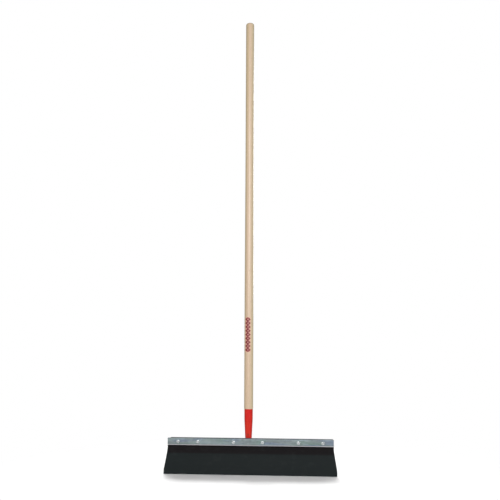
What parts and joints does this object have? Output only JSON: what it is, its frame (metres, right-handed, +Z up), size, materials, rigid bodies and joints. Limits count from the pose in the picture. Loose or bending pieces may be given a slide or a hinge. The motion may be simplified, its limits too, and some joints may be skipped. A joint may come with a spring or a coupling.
{
  "type": "floor scraper",
  "caption": "Long-handled floor scraper: wide flared sheet-metal blade bolted into a galvanised clamp, tapered red socket and straight lacquered wooden handle.",
  "frame": {"origin": "middle of the blade's scraping edge, on the floor", "axes": "+Z up, along the handle; +Y to the back, away from the bolt heads; +X to the right seen from the front"},
  "size_m": [0.6096, 0.0513, 1.654],
  "materials": {
    "handle_wood": "clear gloss lacquer on pale wood",
    "red_powder_coat": "glossy red powder coat",
    "red_screw": "red coated screw",
    "galvanised": "galvanised, dull grey with faint spangle",
    "zinc_plated_fastener": "bright zinc plate",
    "black_blade": "satin black paint on sheet steel"
  },
  "bodies": {
    "root": {"wood_handle": "handle_wood", "handle_socket": "red_powder_coat", "socket_screw": "red_screw", "handle_bracket": "red_powder_coat", "front_strip": "galvanised", "rear_bar": "galvanised", "scraper_blade": "black_blade", "bolt_1": "zinc_plated_fastener", "bolt_2": "zinc_plated_fastener", "bolt_3": "zinc_plated_fastener", "bolt_4": "zinc_plated_fastener", "bolt_5": "zinc_plated_fastener", "bolt_6": "zinc_plated_fastener", "lock_washer_1": "zinc_plated_fastener", "lock_washer_2": "zinc_plated_fastener", "lock_washer_3": "zinc_plated_fastener", "lock_washer_4": "zinc_plated_fastener", "lock_washer_5": "zinc_plated_fastener", "lock_washer_6": "zinc_plated_fastener", "nut_1": "zinc_plated_fastener", "nut_2": "zinc_plated_fastener", "nut_3": "zinc_plated_fastener", "nut_4": "zinc_plated_fastener", "nut_5": "zinc_plated_fastener", "nut_6": "zinc_plated_fastener"}
  },
  "joints": []
}
